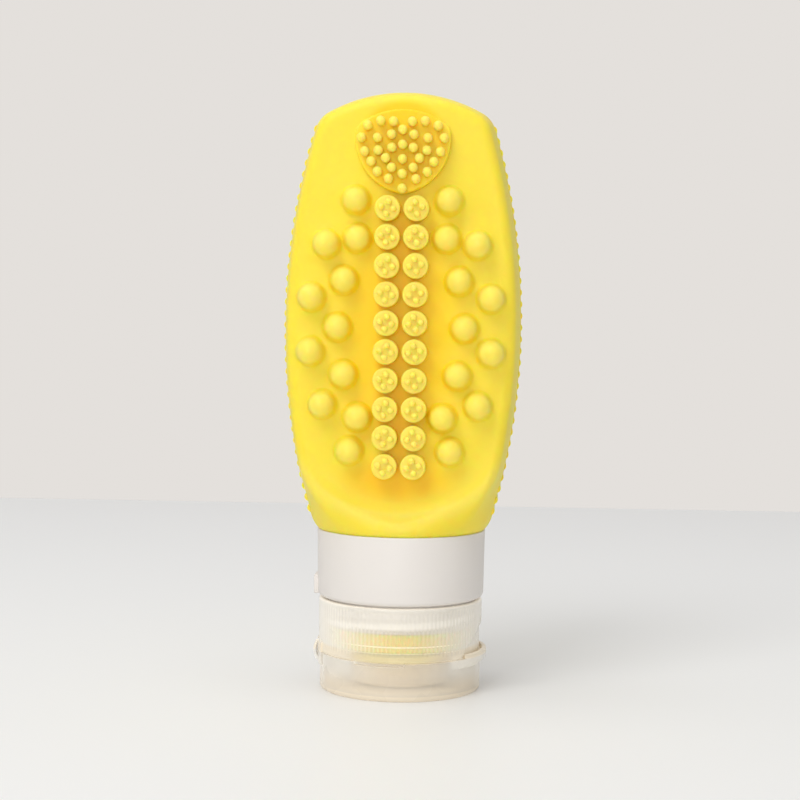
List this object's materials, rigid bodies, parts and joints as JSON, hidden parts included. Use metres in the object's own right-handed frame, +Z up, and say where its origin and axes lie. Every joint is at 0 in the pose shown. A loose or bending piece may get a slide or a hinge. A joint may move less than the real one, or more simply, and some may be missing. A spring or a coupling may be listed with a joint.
{
  "type": "travel squeeze bottle",
  "caption": "Soft silicone travel bottle with massage nubs and bristle pad on its front, a rigid neck collar, and a translucent screw cap with a hinged flip lid on which it stands.",
  "frame": {"origin": "centre of the flip lid's flat end face, on the cap's axis", "axes": "+Z up along the cap's axis towards the closed top of the bottle, -Y towards the nubbed front, -X towards the lid's hinge"},
  "size_m": [0.0562, 0.0421, 0.1413],
  "materials": {
    "yellow_silicone": "soft satin moulded silicone",
    "white_plastic": "fine matte moulded plastic",
    "clear_plastic": "milky translucent moulded plastic",
    "valve_silicone": "clear soft silicone"
  },
  "bodies": {
    "bottle": {"bottle_body": "yellow_silicone", "neck_collar": "white_plastic"},
    "valve": {"slit_valve": "valve_silicone"},
    "cap": {"cap_base": "clear_plastic", "valve_retainer": "clear_plastic", "hinge_strap": "clear_plastic", "hinge_webs": "clear_plastic"},
    "lid": {"flip_lid": "clear_plastic"}
  },
  "joints": [
    {"name": "cap_lift", "type": "slide", "parent": "bottle", "child": "valve", "axis": [0, 0, -1], "range_m": [0, 0.0063]},
    {"name": "cap_turn", "type": "hinge", "parent": "valve", "child": "cap", "pos_m": [0, 0, 0.011], "axis": [0, 0, -1], "range_deg": [0, 540]},
    {"name": "lid_hinge", "type": "hinge", "parent": "cap", "child": "lid", "pos_m": [-0.0197, 0, 0.0091], "axis": [0, 1, 0], "range_deg": [0, 135], "deforming": ["hinge_strap", "hinge_webs"]}
  ],
  "couplings": [
    {"joint": "cap_lift", "follows": "cap_turn", "m_per_rad": 0.000668}
  ]
}
